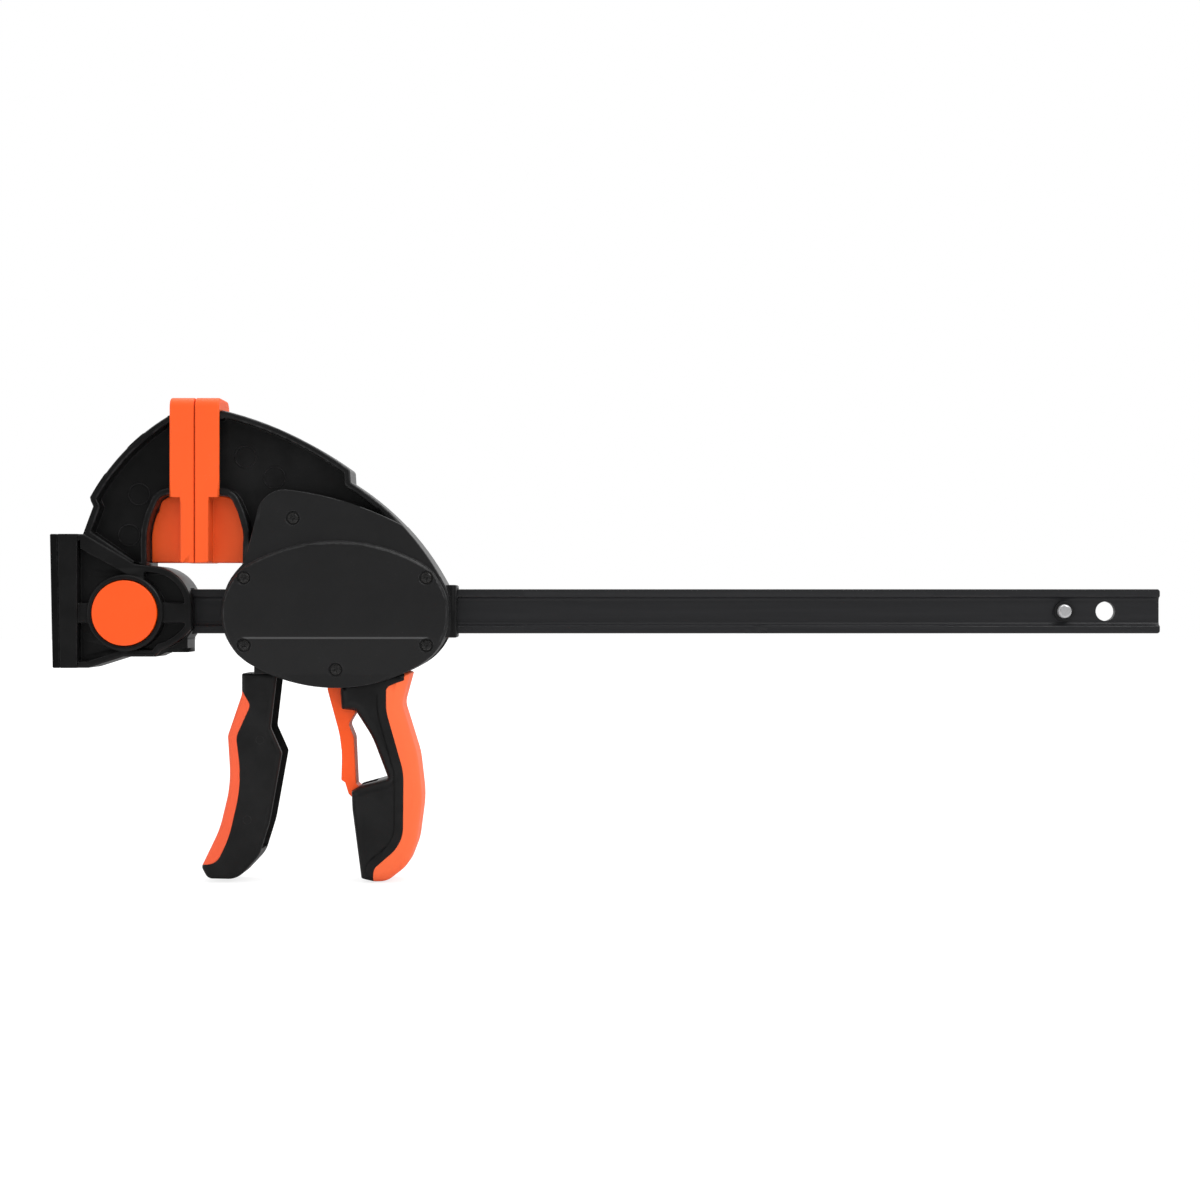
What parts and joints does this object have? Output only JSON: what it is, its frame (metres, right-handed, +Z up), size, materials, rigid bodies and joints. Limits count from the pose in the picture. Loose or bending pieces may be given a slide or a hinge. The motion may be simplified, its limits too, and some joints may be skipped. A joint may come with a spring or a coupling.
{
  "type": "quick release bar clamp",
  "caption": "One-handed quick release bar clamp: a trigger-driven jaw on a steel I-bar, a fixed jaw with a push button release, soft jaw pads and a cushioned pistol grip.",
  "frame": {"origin": "middle of the closed soft pads' meeting plane, midway up the pads and midway across them", "axes": "+X along the bar towards its free end, +Z up towards the jaws' tips, -Y the side with the push button and the screwed cover"},
  "size_m": [0.5499, 0.038, 0.2394],
  "materials": {
    "black_moulding": "glass-filled nylon, fine spark texture, satin",
    "black_jaw_moulding": "glass-filled nylon, fine spark texture, matt",
    "black_cover_moulding": "glass-filled nylon, fine spark texture, satin",
    "orange_pad_rubber": "soft thermoplastic rubber, matt",
    "orange_grip_rubber": "soft thermoplastic rubber, satin",
    "orange_moulding": "coloured acetal, satin",
    "black_pad_rubber": "soft thermoplastic rubber, matt",
    "black_oxide_steel": "black oxide, satin",
    "bright_steel": "ground",
    "spring_steel": "drawn wire",
    "black_screw_steel": "black oxide"
  },
  "bodies": {
    "housing": {"jaw_body": "black_moulding", "housing_cover": "black_cover_moulding", "cover_screws": "black_screw_steel", "moving_jaw_pad": "orange_pad_rubber", "grip_overmould": "orange_grip_rubber", "lever_pin": "bright_steel", "trigger_pin": "bright_steel", "drive_spring": "spring_steel", "brake_spring": "spring_steel"},
    "bar_and_fixed_jaw": {"bar": "black_oxide_steel", "stop_pin": "bright_steel", "fixed_jaw": "black_jaw_moulding", "fixed_jaw_pad": "orange_pad_rubber", "end_pad": "black_pad_rubber", "button_spring": "spring_steel"},
    "button": {"push_button": "orange_moulding", "lock_pin": "bright_steel", "lock_clip": "spring_steel"},
    "squeeze_lever": {"lever": "black_moulding", "lever_overmould": "orange_grip_rubber"},
    "plates": {"drive_plates": "bright_steel"},
    "trigger": {"release_trigger": "orange_moulding"},
    "brake": {"brake_plate": "bright_steel"}
  },
  "joints": [
    {"name": "bar_slide", "type": "slide", "parent": "housing", "child": "bar_and_fixed_jaw", "axis": [-1, 0, 0], "range_m": [0, 0.2966]},
    {"name": "button_press", "type": "slide", "parent": "bar_and_fixed_jaw", "child": "button", "axis": [0, 1, 0], "range_m": [0, 0.0048], "stiffness_N_per_m": 900, "springref_m": -0.002, "deforming": ["button_spring"]},
    {"name": "lever_pivot", "type": "hinge", "parent": "housing", "child": "squeeze_lever", "pos_m": [0.0364, 0, -0.0484], "axis": [0, -1, 0], "range_deg": [0, 15], "stiffness_Nm_per_rad": 1.2, "springref_deg": -6.88},
    {"name": "plates_slide", "type": "slide", "parent": "housing", "child": "plates", "axis": [1, 0, 0], "range_m": [0, 0.0044], "deforming": ["drive_spring"]},
    {"name": "trigger_pivot", "type": "hinge", "parent": "housing", "child": "trigger", "pos_m": [0.0825, 0, -0.1589], "axis": [0, 1, 0], "range_deg": [0, 6.8], "stiffness_Nm_per_rad": 1.5, "springref_deg": -2.86},
    {"name": "brake_pivot", "type": "hinge", "parent": "housing", "child": "brake", "pos_m": [0.0806, 0, -0.0419], "axis": [0, -1, 0], "range_deg": [0, 8], "deforming": ["brake_spring"]}
  ],
  "couplings": [
    {"joint": "plates_slide", "follows": "lever_pivot", "m_per_rad": 0.0165},
    {"joint": "brake_pivot", "follows": "trigger_pivot", "ratio": 1.167}
  ]
}
